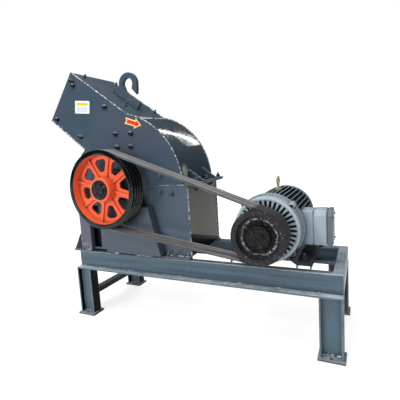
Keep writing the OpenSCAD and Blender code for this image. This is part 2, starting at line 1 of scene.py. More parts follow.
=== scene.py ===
"""Looks of a hammer crusher on its stand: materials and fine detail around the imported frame.

The frame is in metres: X runs from the feed end to the motor, Y from the drive side to the back,
and Z is up. Places are in metres, except those that from_rotor takes and the outlines of the
stickers. The sizes and sections of bolts, welds, wires and plates are in millimetres.
"""
import json
import math
import random

import bmesh
import bpy
from mathutils import Matrix, Vector


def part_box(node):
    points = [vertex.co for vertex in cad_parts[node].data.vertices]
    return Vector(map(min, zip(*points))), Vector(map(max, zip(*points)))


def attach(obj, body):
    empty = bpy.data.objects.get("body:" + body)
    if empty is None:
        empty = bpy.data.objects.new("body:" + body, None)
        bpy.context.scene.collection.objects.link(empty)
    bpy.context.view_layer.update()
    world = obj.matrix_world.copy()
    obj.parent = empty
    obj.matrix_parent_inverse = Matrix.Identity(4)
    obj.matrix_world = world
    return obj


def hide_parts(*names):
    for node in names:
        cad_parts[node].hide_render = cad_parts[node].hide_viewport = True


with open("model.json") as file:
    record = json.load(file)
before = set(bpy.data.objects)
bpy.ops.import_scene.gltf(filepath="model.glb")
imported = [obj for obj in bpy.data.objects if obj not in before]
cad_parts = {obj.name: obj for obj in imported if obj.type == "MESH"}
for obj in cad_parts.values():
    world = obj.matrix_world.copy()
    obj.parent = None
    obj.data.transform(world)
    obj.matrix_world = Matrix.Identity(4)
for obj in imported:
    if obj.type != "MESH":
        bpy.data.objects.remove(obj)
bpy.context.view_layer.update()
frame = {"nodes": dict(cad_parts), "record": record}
nodes = frame["nodes"]
rng = random.Random(17)
MM = 0.001
UP, FRONT, BACK = Vector((0, 0, 1)), Vector((0, -1, 0)), Vector((0, 1, 0))
SIDES = (-1, 1)


def centre_xz(node):
    low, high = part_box(node)
    return (low.x + high.x) / 2, (low.z + high.z) / 2


ROTOR_X, ROTOR_Z = centre_xz("drive_sheave")
MOTOR_X, MOTOR_Z = centre_xz("motor_sheave")
# outer faces of the side plates and of the long beams, from the middle plane
SIDE = abs(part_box("upper_side_front")[0].y)
BEAM_FACE = abs(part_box("beam_front")[0].y)
# tops of the deck, of the sill plates and of the base plates
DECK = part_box("beam_front")[1].z
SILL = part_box("sills")[1].z
BASE_TOP = 0.012
# thickness of the feet's plates on the deck
FOOT_PLATE = 0.012
# half the length of the stand, and the slope of the top plate
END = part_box("beam_front")[1].x
TOP_ANGLE = math.radians(36.4)


def from_rotor(x, z):
    """A point on the front side plate, in millimetres from the rotor axis."""
    return Vector((ROTOR_X + x * MM, -SIDE, ROTOR_Z + z * MM))


def circle(x, y, z, radius, count, first):
    """Points evenly round an axis along Y, the first at an angle in degrees."""
    angles = [math.radians(first + 360 / count * k) for k in range(count)]
    return [Vector((x + radius * math.cos(a), y, z + radius * math.sin(a))) for a in angles]


def line(x, y, z):
    """A straight path: a coordinate that changes along it is given as a pair."""
    ends = [value if isinstance(value, tuple) else (value, value) for value in (x, y, z)]
    return [Vector(end) for end in zip(*ends)]


def top_line():
    """Direction up along the top plate, and its lower end, on the outer face."""
    slope = Vector((-math.cos(TOP_ANGLE), 0, math.sin(TOP_ANGLE)))
    return slope, Vector((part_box("top_plate")[1].x, 0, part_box("rear_cover")[1].z))


# ---------------- camera
EYE = (0.9378, -2.0211, 1.0973)
AZIMUTH, ELEVATION, ROLL = -26.01, -7.249, -3.612
LENS, SENSOR = 31.24, 36.0
SHIFT = (0.0100, -0.0196)


def make_camera():
    az, el, roll = (math.radians(a) for a in (AZIMUTH, ELEVATION, ROLL))
    forward = Vector((math.sin(az) * math.cos(el), math.cos(az) * math.cos(el), math.sin(el)))
    right = forward.cross(UP).normalized()
    up = right.cross(forward)
    right_r = math.cos(roll) * right + math.sin(roll) * up
    up_r = math.cos(roll) * up - math.sin(roll) * right
    turn = Matrix((right_r, up_r, -forward)).transposed().to_4x4()
    data = bpy.data.cameras.new("photo_view")
    data.lens, data.sensor_width = LENS, SENSOR
    data.shift_x, data.shift_y = SHIFT
    data.clip_start = 0.05
    camera = bpy.data.objects.new("photo_view", data)
    camera.matrix_world = Matrix.Translation(EYE) @ turn
    bpy.context.scene.collection.objects.link(camera)
    bpy.context.scene.camera = camera


# ---------------- node trees
def linear(part):
    return part / 12.92 if part <= 0.04045 else ((part + 0.055) / 1.055) ** 2.4


def colour(code, factor=1.0):
    """A hex colour as written on a screen, in the linear values that nodes take, times a factor."""
    parts = [linear(int(code[i:i + 2], 16) / 255) for i in (1, 3, 5)]
    return tuple(min(1.0, part * factor) for part in parts) + (1.0,)


class Tree:
    """A material's node tree: add() makes a node, whose inputs are values or other sockets."""

    def __init__(self, name):
        self.material = bpy.data.materials.new(name)
        self.material.use_nodes = True
        self.tree = self.material.node_tree
        self.tree.nodes.clear()
        # a change function sets this where the strength of the reflections varies
        self.specular = None
        self.place = self.add("ShaderNodeTexCoord").outputs["Object"]

    def add(self, kind, inputs=None, **settings):
        node = self.tree.nodes.new(kind)
        for key, value in settings.items():
            setattr(node, key, value)
        for key, value in (inputs or {}).items():
            if isinstance(value, bpy.types.NodeSocket):
                self.tree.links.new(value, node.inputs[key])
            else:
                node.inputs[key].default_value = value
        return node

    def noise(self, scale, detail=3.0, rough=0.55, stretch=None, distortion=0.0):
        place = self.place
        if stretch:
            place = self.add("ShaderNodeMapping", {"Vector": place, "Scale": stretch}).outputs[0]
        return self.add("ShaderNodeTexNoise", {"Vector": place, "Scale": scale, "Detail": detail,
                                               "Roughness": rough, "Distortion": distortion}).outputs[0]

    def span(self, value, low, high, to_low=0.0, to_high=1.0):
        """A value brought from one range to another, and kept inside it."""
        return self.add("ShaderNodeMapRange", {"Value": value, "From Min": low, "From Max": high,
                                               "To Min": to_low, "To Max": to_high}).outputs[0]

    def maths(self, operation, a, b=0.0):
        return self.add("ShaderNodeMath", {0: a, 1: b}, operation=operation).outputs[0]

    def times(self, a, b):
        return self.maths("MULTIPLY", a, b)

    def absolute(self, value):
        return self.maths("ABSOLUTE", value)

    def mix(self, amount, a, b):
        return self.add("ShaderNodeMix", {0: amount, 6: a, 7: b}, data_type="RGBA").outputs[2]

    def bump(self, height, distance, strength, normal=None):
        inputs = {"Height": height, "Distance": distance, "Strength": strength}
        if normal is not None:
            inputs["Normal"] = normal
        return self.add("ShaderNodeBump", inputs).outputs[0]

    def axis(self, name):
        return self.add("ShaderNodeSeparateXYZ", {0: self.place}).outputs[name]

    def vectors(self, operation, a, b=(0, 0, 0), output=0):
        return self.add("ShaderNodeVectorMath", {0: a, 1: b}, operation=operation).outputs[output]

    def distance(self, point):
        return self.vectors("LENGTH", self.vectors("SUBTRACT", self.place, point), output="Value")

    def radius(self, x, z):
        """Distance from a line along Y."""
        off = self.vectors("SUBTRACT", self.place, (x, 0, z))
        return self.vectors("LENGTH", self.vectors("MULTIPLY", off, (1, 0, 1)), output="Value")

    def normal_axis(self, name):
        normal = self.add("ShaderNodeNewGeometry").outputs["Normal"]
        return self.add("ShaderNodeSeparateXYZ", {0: normal}).outputs[name]

    def edges(self, radius, high=0.35):
        """0 on flats and 1 along sharp edges, with the rounded normal."""
        soft = self.add("ShaderNodeBevel", {"Radius": radius}, samples=4).outputs[0]
        true = self.add("ShaderNodeNewGeometry").outputs["Normal"]
        dot = self.vectors("DOT_PRODUCT", soft, true, "Value")
        return self.span(self.maths("SUBTRACT", 1.0, dot), 0.02, high), soft

    def crevices(self):
        """1 deep in corners and 0 in the open, as seen 30 mm around."""
        share = self.add("ShaderNodeAmbientOcclusion", {"Distance": 0.03}, samples=6).outputs["AO"]
        return self.span(share, 0.3, 0.85, 1.0, 0.0)

    def finish(self, **inputs):
        """The material, shaded by the inputs, whose names have _ for each space."""
        names = {key.replace("_", " "): value for key, value in inputs.items()}
        shader = self.add("ShaderNodeBsdfPrincipled", names)
        self.add("ShaderNodeOutputMaterial", {"Surface": shader.outputs[0]})
        return self.material


# ---------------- materials
def paint(name, base, tint=0.16, rough=0.34, specular=0.35, peel=0.0006, dust=0.3,
          dust_colour="#8b9092", wear_and_highlight=0.5, bare_and_highlight="#8f9aa2", edge_size=0.003, grime_and_shade=0.6,
          grime_and_shade_colour="#10151a", drift=None, change=None):
    """Sprayed or brushed machine paint.

    It has a cloudy shade and a fine orange peel, and dust on what faces up. Corners are darkened,
    which is dirt and painted shade, and edges are rubbed to a paler colour, which is wear and a
    painted highlight. It drifts in wide patches to a second colour where one is given, and
    change(tree, colour) adds what is particular to one piece.
    """
    t = Tree(name)
    cloud = t.noise(3.1, 5.0, 0.6)
    streak = t.noise(9.0, 4.0, 0.6, stretch=(3.0, 3.0, 0.5))
    fine = t.noise(170.0, 3.0, 0.6)
    shade = t.span(t.maths("ADD", t.times(cloud, 0.65), t.times(streak, 0.35)), 0.32, 0.68)
    body = t.mix(shade, colour(base, 1 - tint), colour(base, 1 + tint))
    if drift:
        patch = t.span(t.noise(1.6, 2.0, 0.5), 0.4, 0.6, 0.0, 0.7)
        body = t.mix(patch, body, colour(drift))
    if change:
        body = change(t, body)
    grit = t.times(t.span(t.noise(31.0, 6.0, 0.75), 0.42, 0.75), dust)
    upward = t.span(t.normal_axis("Z"), 0.35, 0.95)
    body = t.mix(t.times(upward, grit), body, colour(dust_colour))
    # corners darkened: dirt and painted shade
    body = t.mix(t.times(t.crevices(), grime_and_shade), body, colour(grime_and_shade_colour))
    # edges rubbed paler: wear and painted highlights
    edge, soft = t.edges(edge_size)
    rub_and_highlight = t.times(edge, t.span(t.noise(24.0, 6.0, 0.7), 0.35, 0.62, wear_and_highlight * 0.3, wear_and_highlight))
    body = t.mix(rub_and_highlight, body, colour(bare_and_highlight))
    roughness = t.span(t.noise(13.0, 4.0, 0.6), 0.3, 0.7, rough - 0.07, rough + 0.09)
    normal = t.bump(t.maths("ADD", fine, t.times(cloud, 2.0)), peel, 0.35, soft)
    return t.finish(Base_Color=body, Roughness=roughness, Normal=normal,
                    Specular_IOR_Level=t.specular or specular)


# the edge of the black painted shade on the rear wall: its height in the middle plane, and its rise
# along Y
SHADE_LINE_HEIGHT, SHADE_LINE_RISE = 0.5284, -0.2854


def rear_wall(t, body):
    """A brown tint, a painted reflection of warm ground, and a line below which the wall is black:
    painted shade.
    """
    # painted reflection: a brown tint of warm ground in the gloss paint
    ground_reflection = t.span(t.noise(6.0, 5.0, 0.6, stretch=(1, 1, 0.35)), 0.2, 0.75, 0.62, 0.95)
    body = t.mix(ground_reflection, body, colour("#aaa395"))
    # painted shade: black below a slanting line
    edge = t.maths("ADD", t.times(t.axis("Y"), SHADE_LINE_RISE), SHADE_LINE_HEIGHT)
    below = t.span(t.maths("SUBTRACT", edge, t.axis("Z")), -0.003, 0.004)
    return t.mix(below, body, colour("#06090e"))


COVER_SCUFF = (-0.036, -0.160, 0.965)


def cover_dust(t, body):
    """A pale scuff low on the cover, near the front edge."""
    wobble = t.times(t.noise(28.0, 4.0, 0.7), 0.07)
    spot = t.span(t.maths("ADD", t.distance(COVER_SCUFF), wobble), 0.058, 0.082, 1.0, 0.0)
    spot = t.times(spot, t.span(t.noise(55.0, 4.0, 0.7), 0.35, 0.55, 0.4, 1.0))
    return t.mix(spot, body, colour("#bcc2b2"))


def stand_tops(t, body):
    """Streaks along the beams, and paler patches on what faces up at the base plates and the motor end.
    Painted highlights run along the sill's ledge and the deck's rim, and the sides of the legs below
    the sill are near black and less glossy: painted shade.
    """
    height = t.axis("Z")
    up = t.span(t.normal_axis("Z"), 0.6, 0.9)

    streak = t.span(t.noise(5.0, 4.0, 0.6, stretch=(0.25, 1.0, 7.0)), 0.4, 0.62, 0.0, 0.75)
    body = t.mix(t.times(streak, t.span(height, SILL - 0.001, SILL)), body, colour("#3b4b5b"))

    # paler patches on what faces up on the base plates and at the motor end
    base_plate = t.span(height, BASE_TOP + 0.001, BASE_TOP + 0.004, 1.0, 0.0)
    motor_end = t.span(t.axis("X"), END - 0.062, END - 0.052)
    patch = t.span(t.noise(22.0, 6.0, 0.75), 0.36, 0.6, 0.25, 0.95)
    pale_top_patch = t.times(t.times(t.maths("MAXIMUM", base_plate, motor_end), up), patch)
    body = t.mix(pale_top_patch, body, colour("#aab4b9"))

    # painted highlights along the top of the sill's ledge and the deck's rim
    ledge = t.span(t.absolute(t.maths("SUBTRACT", height, SILL)), 0.0015, 0.003, 1.0, 0.0)
    rim = t.times(t.span(height, DECK - 0.002, DECK - 0.001),
                  t.span(t.absolute(t.axis("Y")), BEAM_FACE - 0.016, BEAM_FACE - 0.013))
    tone_and_highlight_noise = t.span(t.noise(16.0, 5.0, 0.7), 0.32, 0.55, 0.35, 1.0)
    painted_highlight = t.times(t.times(t.maths("MAXIMUM", ledge, rim), up), tone_and_highlight_noise)
    body = t.mix(painted_highlight, body, colour("#d3dde3"))

    # painted shade: the legs' sides below the sill are near black and reflect less
    painted_side_shade = t.times(t.span(t.absolute(t.normal_axis("X")), 0.6, 0.9),
                   t.span(height, SILL - 0.012, SILL - 0.010, 1.0, 0.0))
    t.specular = t.span(painted_side_shade, 0.0, 1.0, 0.35, 0.06)
    return t.mix(painted_side_shade, body, colour("#0b141b"))


# radii about the motor axis: the floor and the crest of the fins, and the ring of endshield slots
FIN_FLOOR, FIN_CREST, SLOT_RING = 0.1705, 0.1790, 0.158
# places along Y: where the fins begin, and the slots' mouth and floor
FINS_FROM, SLOT_MOUTH, SLOT_FLOOR = -0.152, -0.238, -0.222
# places along X on the terminal box: the end of its neck, the seam, and the lid
NECK_END, SEAM_FROM, SEAM_TO, LID_FROM = 0.6885, 0.7595, 0.7665, 0.7668


def fin_gaps(t, body):
    """The floor between the fins is darkened: painted shade."""
    deep = t.span(t.radius(MOTOR_X, MOTOR_Z), FIN_FLOOR, FIN_CREST, 1.0, 0.0)
    behind = t.span(t.axis("Y"), FINS_FROM, FINS_FROM + 0.006)
    return t.mix(t.times(t.times(deep, behind), 0.92), body, colour("#0e1418"))


def slot_depth(t, body):
    """Inside the openings of the endshield it is darker: painted shade."""
    deep = t.span(t.axis("Y"), SLOT_MOUTH, SLOT_FLOOR)
    ring = t.span(t.radius(MOTOR_X, MOTOR_Z), SLOT_RING, SLOT_RING + 0.0065, 1.0, 0.0)
    return t.mix(t.times(deep, ring), body, colour("#5a676e"))


def lid_tone(t, body):
    """The terminal box: its neck is mixed to an even pale tone, its seam is dark, and its lid is darker
    than its body, which is painted shade.
    """
    x = t.axis("X")
    neck = t.span(x, NECK_END, NECK_END + 0.001, 1.0, 0.0)
    body = t.mix(t.times(neck, 0.75), body, colour("#a4b4bf"))
    seam = t.times(t.span(x, SEAM_FROM, SEAM_FROM + 0.001),
                   t.span(x, SEAM_TO, SEAM_TO + 0.001, 1.0, 0.0))
    body = t.mix(t.times(seam, 0.8), body, colour("#39424a"))
    # painted shade: the lid darker
    lid_shade = t.span(x, LID_FROM, LID_FROM + 0.0008)
    return t.mix(t.times(lid_shade, 0.9), body, colour("#5f676f"))


# where edges rub to a near-white colour (flange, painted bolts, stand, black paint), it is a painted
# highlight as well as wear
PAINTS = {
    "housing_paint": dict(base="#4c5b69", bare_and_highlight="#b4bfc6", drift="#545765"),
    # near black: painted shade on the braces
    "brace_shaded_paint": dict(base="#0f151a", dust=0.2, bare_and_highlight="#5c6972", wear_and_highlight=0.4, specular=0.15),
    "flange_paint": dict(base="#45515d", bare_and_highlight="#f2f6f8", wear_and_highlight=1.0, edge_size=0.004),
    "feet_paint": dict(base="#5f616f", bare_and_highlight="#c9ced6", wear_and_highlight=0.9),
    # near black: painted shade in the recess plates, the feed-foot gussets and the cowl's intake floor
    "recess_paint": dict(base="#1b242a", rough=0.45),
    "bolt_painted": dict(base="#43505b", bare_and_highlight="#e4eaee", wear_and_highlight=1.0, edge_size=0.0022),
    # a darker copy of the housing paint: painted shade on the upper sides, the hook and the chute floor
    "upper_shaded_paint": dict(base="#3f5160", bare_and_highlight="#b4bfc6", drift="#4a505e"),
    "cover_paint": dict(base="#46525c", rough=0.1, specular=0.5, dust=0.12, peel=0.0001,
                        change=cover_dust),
    "top_paint": dict(base="#42515d", rough=0.3, dust=0.2),
    "rear_wall": dict(base="#4a545c", rough=0.25, dust=0.1, grime_and_shade=0.3, specular=0.05,
                      change=rear_wall),
    "pedestal_paint": dict(base="#4f5965"),
    "stand_paint": dict(base="#536775", dust=0.9, dust_colour="#9fabb2", wear_and_highlight=1.0, bare_and_highlight="#d5dee3",
                        edge_size=0.008, change=stand_tops),
    "motor_paint": dict(base="#b0bfc8", rough=0.38, bare_and_highlight="#c3ced5"),
    "frame_paint": dict(base="#9aa9b2", rough=0.38, bare_and_highlight="#b8c4cb", change=fin_gaps),
    "shield_paint": dict(base="#b8c7cf", rough=0.36, bare_and_highlight="#c3ced5", change=slot_depth),
    "cowl_paint": dict(base="#7d8d96", rough=0.4),
    "feet_black": dict(base="#212427", rough=0.4, bare_and_highlight="#85827e", dust=0.4, dust_colour="#77706a"),
    "box_paint": dict(base="#a5b4c0", rough=0.4, bare_and_highlight="#c3ced5", grime_and_shade=0.4, change=lid_tone),
    # its corners turn deep red: painted shade, with some dirt
    "wheel_paint": dict(base="#ff6d44", tint=0.2, rough=0.3, bare_and_highlight="#ffb49a", wear_and_highlight=0.9,
                        edge_size=0.004, grime_and_shade=0.95, grime_and_shade_colour="#7a1408", dust=0.1,
                        dust_colour="#c0684c"),
    # the black paint's pale edges are painted highlights, like the thin bright line on the rim's front
    # edge
    "black_paint": dict(base="#0a0b0d", rough=0.2, bare_and_highlight="#c8d0d6", dust=0.1, wear_and_highlight=1.0),
    "bearing_paint": dict(base="#2c343b", rough=0.36, bare_and_highlight="#79828a"),
}

# the belts are greasy within this distance of the motor axis
GREASY_BELT = 0.152


def belts():
    """Rubber with lines along each belt, darker on the flanks."""
    t = Tree("belt_rubber")
    flank = t.span(t.absolute(t.normal_axis("Y")), 0.35, 0.8)
    weave = t.noise(420.0, 2.0, 0.6)
    cloud = t.noise(14.0, 5.0, 0.7, stretch=(1, 3, 1))
    body = t.mix(t.span(cloud, 0.3, 0.7), colour("#8b8a8e"), colour("#aaa8a8"))
    lines = t.noise(1.0, 3.0, 0.6, stretch=(1.5, 75.0, 1.5))
    body = t.mix(t.span(lines, 0.38, 0.62, 0.75, 0.0), body, colour("#45454a"))
    body = t.mix(t.times(flank, 0.6), body, colour("#3a383b"))
    greasy = t.span(t.radius(MOTOR_X, MOTOR_Z), GREASY_BELT, GREASY_BELT + 0.006, 0.85, 0.0)
    body = t.mix(greasy, body, colour("#2a272b"))
    normal = t.bump(t.maths("ADD", weave, lines), 0.0006, 0.5)
    return t.finish(Base_Color=body, Roughness=0.72, Normal=normal, Specular_IOR_Level=0.25)


def grease(name, x, z, ring, width, shine):
    """Thick black grease over a cast face, blackest inside a ring in which its glints thicken. The
    glints, the pale flecks and the pale edges are painted highlights.
    """
    t = Tree(name)
    lumps = t.noise(34.0, 6.0, 0.72, distortion=1.2)
    crust = t.noise(95.0, 5.0, 0.75)
    away = t.absolute(t.maths("SUBTRACT", t.radius(x, z), ring))
    near = t.span(away, 0.0, width, shine, 0.0)
    outside = t.span(t.radius(x, z), ring + width * 0.6, ring + width, 0.0, 0.9)
    front = t.span(t.times(t.normal_axis("Y"), -1.0), 0.5, 0.9)
    body = t.mix(t.span(lumps, 0.35, 0.7), colour("#060607"), colour("#1c1a1d"))
    body = t.mix(outside, body, colour("#2a282d"))
    # painted glints: pale flecks on the crests of the lumps
    glint_flecks = t.times(t.span(crust, 0.58, 0.63), t.span(lumps, 0.45, 0.6, 0.0, shine))
    body = t.mix(glint_flecks, body, colour("#9aa0a6"))
    # painted highlight: glints on the front face near the ring
    glint = t.times(near, t.times(front, t.span(crust, 0.47, 0.55)))
    body = t.mix(glint, body, colour("#c9cdd4"))
    # painted highlight: paler edges
    edge, soft = t.edges(0.004)
    body = t.mix(t.times(edge, t.span(lumps, 0.4, 0.55, 0.15, 0.8)), body, colour("#8b8a92"))
    height = t.maths("ADD", t.times(lumps, 1.6), t.times(crust, 0.6))
    share = t.maths("ADD", t.times(front, 0.8), 0.2)
    normal = t.bump(t.times(height, share), 0.008, 0.9, soft)
    return t.finish(Base_Color=body, Roughness=t.span(crust, 0.3, 0.7, 0.12, 0.4), Normal=normal,
                    Specular_IOR_Level=0.3)


def weld_bead():
    """Painted-over weld: dark in the dips, pale and glossy on the crests; the pale crests are painted
    highlights.
    """
    t = Tree("weld_bead")
    # painted highlights on the crests
    crest_highlight = t.span(t.noise(70.0, 3.0, 0.6), 0.46, 0.58)
    body = t.mix(crest_highlight, colour("#46545f"), colour("#dce4e8"))
    normal = t.bump(t.noise(260.0, 3.0, 0.6), 0.001, 0.5)
    return t.finish(Base_Color=body, Roughness=0.28, Normal=normal, Specular_IOR_Level=0.6)


def bolt_black():
    """Blackened steel, pale on what faces up and along its edges, which are painted highlights."""
    t = Tree("bolt_black")
    edge, soft = t.edges(0.002, 0.3)
    tone_and_highlight_noise = t.noise(60.0, 5.0, 0.7)
    body = t.mix(t.span(tone_and_highlight_noise, 0.35, 0.7), colour("#02050b"), colour("#070c15"))
    # painted highlight on what faces up
    body = t.mix(t.span(t.normal_axis("Z"), 0.3, 0.8, 0.0, 0.9), body, colour("#b4c4d2"))
    # painted highlights along the edges, broken up by noise
    body = t.mix(t.times(edge, t.span(tone_and_highlight_noise, 0.35, 0.6, 0.25, 1.0)), body, colour("#b9c6cf"))
    return t.finish(Base_Color=body, Roughness=t.span(tone_and_highlight_noise, 0.3, 0.7, 0.2, 0.4), Normal=soft,
                    Specular_IOR_Level=0.2)


def label_face():
    """A blank plate: white, with a yellow band and a pale grey field, and nothing written on it."""
    t = Tree("label_face")
    x, z = t.axis("X"), t.axis("Z")
    blur = 0.0012

    def inside(value, low, high):
        return t.times(t.span(value, low, low + blur), t.span(value, high - blur, high, 1.0, 0.0))

    speck = t.noise(90.0, 4.0, 0.6)
    white = t.mix(t.span(speck, 0.4, 0.7), colour("#eef1f2"), colour("#dfe4e6"))
    band = t.times(inside(x, -0.049, 0.049), inside(z, 0.010, 0.028))
    field = t.times(inside(x, -0.044, 0.046), inside(z, -0.031, 0.003))
    body = t.mix(t.times(field, 0.75), white, colour("#cdd8df"))
    body = t.mix(band, body, colour("#dfd02a"))
    return t.finish(Base_Color=body, Roughness=t.span(speck, 0.3, 0.7, 0.25, 0.4),
                    Specular_IOR_Level=0.4, Normal=t.bump(speck, 0.0003, 0.3))


def film(name, base, lighter):
    """The coloured film of a sticker."""
    t = Tree(name)
    speck = t.noise(70.0, 4.0, 0.65)
    body = t.mix(t.span(speck, 0.3, 0.7), colour(base), colour(lighter))
    return t.finish(Base_Color=body, Roughness=t.span(speck, 0.3, 0.7, 0.28, 0.42),
                    Specular_IOR_Level=0.4, Normal=t.bump(speck, 0.0003, 0.3))


def metal(name, base, lighter, rough=0.3, metallic=0.85, scale=60.0):
    t = Tree(name)
    grain = t.noise(scale, 5.0, 0.7)
    body = t.mix(t.span(grain, 0.3, 0.7), colour(base), colour(lighter))
    edge, soft = t.edges(0.0015)
    body = t.mix(t.times(edge, 0.4), body, colour("#b9bec2"))
    roughness = t.span(grain, 0.3, 0.7, rough - 0.06, rough + 0.12)
    return t.finish(Base_Color=body, Metallic=metallic, Roughness=roughness,
                    Normal=t.bump(grain, 0.0005, 0.3, soft))


def make_materials():
    made = {name: paint(name, **settings) for name, settings in PAINTS.items()}
    made.update({
        "belt_rubber": belts(),
        "sheave_grease": grease("sheave_grease", MOTOR_X, MOTOR_Z, 0.091, 0.008, 0.95),
        "bush_grease": grease("bush_grease", ROTOR_X, ROTOR_Z, 0.062, 0.004, 0.35),
        "shaft_steel": metal("shaft_steel", "#5d6063", "#85888b"),
        "cast_steel": metal("cast_steel", "#3b3936", "#5a5650", rough=0.55, metallic=0.5, scale=35.0),
        "eye_zinc": metal("eye_zinc", "#b7b093", "#d8d2bb", rough=0.34, metallic=0.6),
        "bolt_black": bolt_black(),
        "weld_bead": weld_bead(),
        "label_face": label_face(),
        "arrow_red": film("arrow_red", "#d8331a", "#e8482a"),
        "arrow_yellow": film("arrow_yellow", "#ecd88a", "#f4e6a8"),
    })
    return made


# ---------------- mesh building
SMOOTH_ANGLE = 40.0
SHARP_ANGLE = 32.0
WELD_SIDES = 6


def unit_frame(axis):
    """Two directions square to an axis, and the axis itself."""
    axis = axis.normalized()
    helper = UP if abs(axis.z) < 0.9 else Vector((1, 0, 0))
    u = helper.cross(axis).normalized()
    return u, axis.cross(u), axis


def shrunk(outline, by):
    """An outline with each point moved towards the middle."""
    middle = [sum(point[i] for point in outline) / len(outline) for i in (0, 1)]
    points = []
    for point in outline:
        share = 1 - by / math.dist(point, middle)
        points.append([m + (p - m) * share for p, m in zip(point, middle)])
    return points


def rounded_box(width, height, radius):
    """The outline of a plate with round corners, about its own middle."""
    points = []
    for turn, (sx, sz) in enumerate(((1, 1), (-1, 1), (-1, -1), (1, -1))):
        for step in range(5):
            a = math.radians(90 * turn + 22.5 * step)
            points.append((sx * (width / 2 - radius) + radius * math.cos(a),
                           sz * (height / 2 - radius) + radius * math.sin(a)))
    return points


class Shape:
    """A mesh put together from closed parts, whose sections are in millimetres."""

    def __init__(self):
        self.bm = bmesh.new()

    def skin(self, rings, material=0):
        """A closed body through rings of points, capped at both ends."""
        made = [[self.bm.verts.new(p) for p in ring] for ring in rings]
        n = len(made[0])
        faces = []
        for a, b in zip(made, made[1:]):
            for i in range(n):
                faces.append(self.bm.faces.new((a[i], a[(i + 1) % n], b[(i + 1) % n], b[i])))
        faces.append(self.bm.faces.new(list(reversed(made[0]))))
        faces.append(self.bm.faces.new(made[-1]))
        for face in faces:
            face.material_index = material

    def turned(self, origin, axis, profile, sides=20, turn=0.0):
        """A body turned about an axis: profile is radius and height in millimetres."""
        u, v, w = unit_frame(axis)
        angles = [turn + 2 * math.pi * i / sides for i in range(sides)]
        self.skin([[origin + w * h * MM + (u * math.cos(a) + v * math.sin(a)) * r * MM for a in angles]
                   for r, h in profile])

    def bolt(self, origin, axis, size, stud=0.0):
        """A hexagon head on a washer, of a width over flats; stud is how far a stud stands out of it."""
        turn = rng.uniform(0, math.pi / 3)
        washer = size * 0.64
        self.turned(origin, axis, [(washer, -2.0), (washer, 1.8), (size * 0.59, 2.6)])
        r, h, base = size / math.sqrt(3), size * 0.62, 1.5
        self.turned(origin, axis, [(r, base), (r, base + h * 0.86), (r * 0.86, base + h)], 6, turn)
        if stud:
            d, tip = size * 0.31, base + h + stud
            self.turned(origin, axis, [(d, base), (d, tip - 1.5), (d - 1.4, tip)], 12)

    def screw(self, origin, axis, size):
        """A cap screw: a round head with a socket."""
        r, h = size / 2, size * 0.6
        profile = [(r, -1.5), (r, h - 1), (r - 1, h), (r * 0.55, h), (r * 0.5, h - size * 0.25)]
        self.turned(origin, axis, profile, 18)

    def weld(self, path, radius, pitch=5.5):
        """A bead of weld along a path, with ripples, lumps and small wanderings."""
        lengths = [(b - a).length for a, b in zip(path, path[1:])]
        total = sum(lengths)
        count = max(3, int(total / (pitch / 3 * MM)))
        rings = []
        for k in range(count + 1):
            along, i = total * k / count, 0
            while i < len(lengths) - 1 and along > lengths[i]:
                along -= lengths[i]
                i += 1
            a, b = path[i], path[i + 1]
            spot = a.lerp(b, along / lengths[i])
            u, v, _ = unit_frame(b - a)
            wave = abs(math.sin(math.pi * k / 3 + 0.3))
            r = radius * MM * (0.7 + 0.3 * wave) * rng.uniform(0.88, 1.12)
            if k in (0, count):
                r *= 0.4
            spot = spot + u * rng.uniform(-0.12, 0.12) * radius * MM
            angles = [2 * math.pi * j / WELD_SIDES for j in range(WELD_SIDES)]
            rings.append([spot + (u * math.cos(t) + v * math.sin(t)) * r for t in angles])
        self.skin(rings)

    def spatter(self, centre, spread, count, size):
        """Small beads thrown off by welding, within a spread to each side of a centre."""
        for _ in range(count):
            spot = centre + Vector([rng.uniform(-s, s) for s in spread]) * MM
            r = size * rng.uniform(0.5, 1.2)
            profile = [(r * 0.5, -r * 0.8), (r, 0), (r * 0.6, r * 0.7)]
            self.turned(spot, Vector((0, -1, 0.4)), profile, 6)

    def plate(self, outline, low, high, rim=0.0, material=0):
        """A plate over an outline in X and Z, from low to high towards the front.

        rim cuts its front edge back.
        """
        layers = [(outline, low), (outline, high - rim)]
        if rim:
            layers.append((shrunk(outline, rim), high))
        self.skin([[Vector((x, -height, z)) * MM for x, z in points] for points, height in layers],
                  material)

    def finish(self, name, body, slot, *looks, smooth=SMOOTH_ANGLE, matrix=None):
        bmesh.ops.recalc_face_normals(self.bm, faces=self.bm.faces)
        mesh = bpy.data.meshes.new(name)
        self.bm.to_mesh(mesh)
        self.bm.free()
        place(name, mesh, body, slot, *looks, smooth=smooth, matrix=matrix)


def place(name, mesh, body, slot, *looks, smooth=SMOOTH_ANGLE, replaces=(), matrix=None):
    numbers = [face.material_index for face in mesh.polygons]
    mesh.materials.clear()
    for look in looks:
        mesh.materials.append(materials[look])
    mesh.polygons.foreach_set("material_index", numbers)
    mesh.shade_smooth()
    mesh.set_sharp_from_angle(angle=math.radians(smooth))
    obj = bpy.data.objects.new(name, mesh)
    bpy.context.scene.collection.objects.link(obj)
    if matrix is not None:
        obj.matrix_world = matrix
    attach(obj, body)
    if replaces:
        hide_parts(*replaces)


